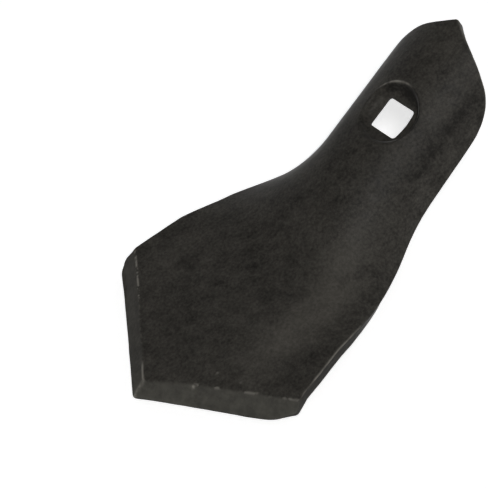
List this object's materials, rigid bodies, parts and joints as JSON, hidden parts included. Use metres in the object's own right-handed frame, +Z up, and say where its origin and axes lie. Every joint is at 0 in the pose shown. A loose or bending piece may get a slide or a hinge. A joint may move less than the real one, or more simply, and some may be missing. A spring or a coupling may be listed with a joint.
{
  "type": "cultivator share",
  "caption": "One-piece goosefoot share: flat pointed blade with two bevelled cutting edges, bent into a curled neck with a square countersunk bolt hole.",
  "frame": {"origin": "centre of the bounding box in plan, at the floor it rests on", "axes": "+Z up, +X from the point towards the neck, +Y across the wings; the share is symmetric about the XZ plane"},
  "size_m": [0.1242, 0.07, 0.0378],
  "materials": {
    "black_steel": "thin matt black stove varnish over forged steel, rubbed through on the ridges"
  },
  "bodies": {
    "root": {"share": "black_steel"}
  },
  "joints": []
}
